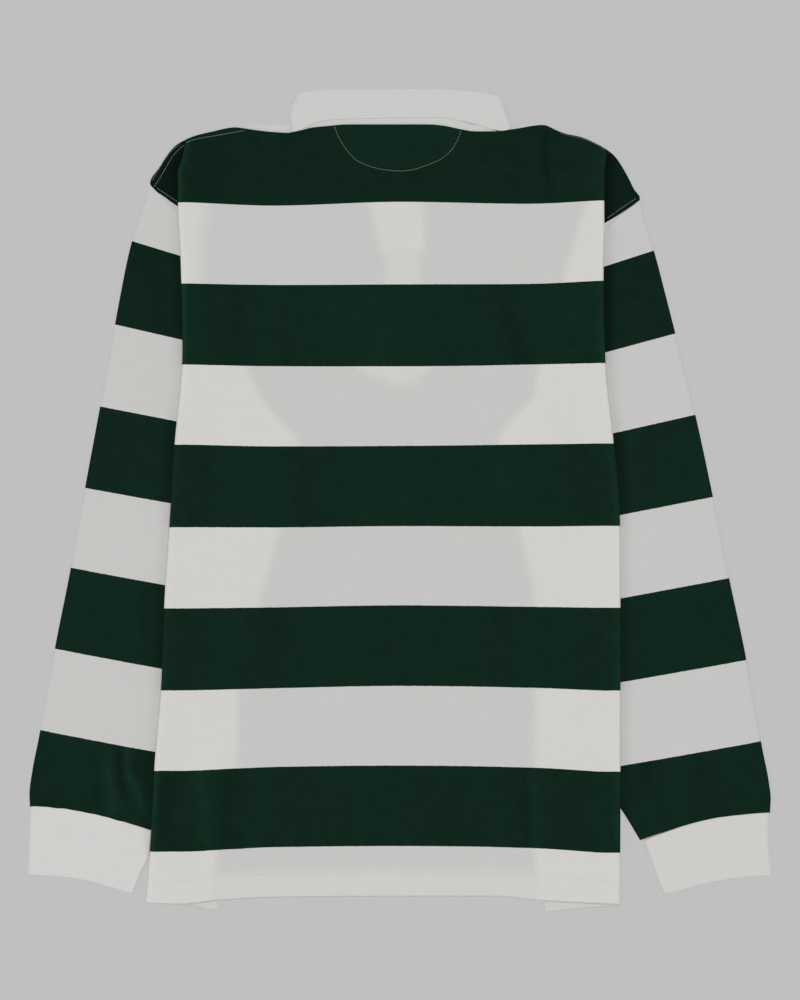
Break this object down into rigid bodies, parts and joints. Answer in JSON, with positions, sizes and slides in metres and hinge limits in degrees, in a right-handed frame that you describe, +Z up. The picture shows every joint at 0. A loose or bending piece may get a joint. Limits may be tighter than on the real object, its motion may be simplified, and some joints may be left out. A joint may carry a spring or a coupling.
{
  "type": "long-sleeved polo shirt laid flat",
  "caption": "Long-sleeved polo shirt in wide green and off-white bands with a white collar and cuffs, laid face down with its sides tucked under.",
  "frame": {"origin": "on the surface that the shirt lies on, under the middle of its outline", "axes": "+Y towards the collar, +X across the shirt towards the wearer's right sleeve, +Z up out of its back, which is its upper side here"},
  "size_m": [0.7003, 0.7751, 0.0093],
  "materials": {
    "striped_jersey": "heavy cotton jersey, knitted in wide bottle-green and off-white bands, matte",
    "white_cotton": "off-white cotton twill and jersey, matte",
    "button": "off-white, satin"
  },
  "bodies": {
    "root": {"back": "striped_jersey", "front": "striped_jersey", "tuck_left": "striped_jersey", "tuck_right": "striped_jersey", "sleeve_left": "striped_jersey", "sleeve_right": "striped_jersey", "cuff_left": "white_cotton", "cuff_right": "white_cotton", "collar": "white_cotton", "collar_stand": "white_cotton", "placket": "white_cotton", "button_1": "button", "button_2": "button", "button_3": "button"}
  },
  "joints": []
}
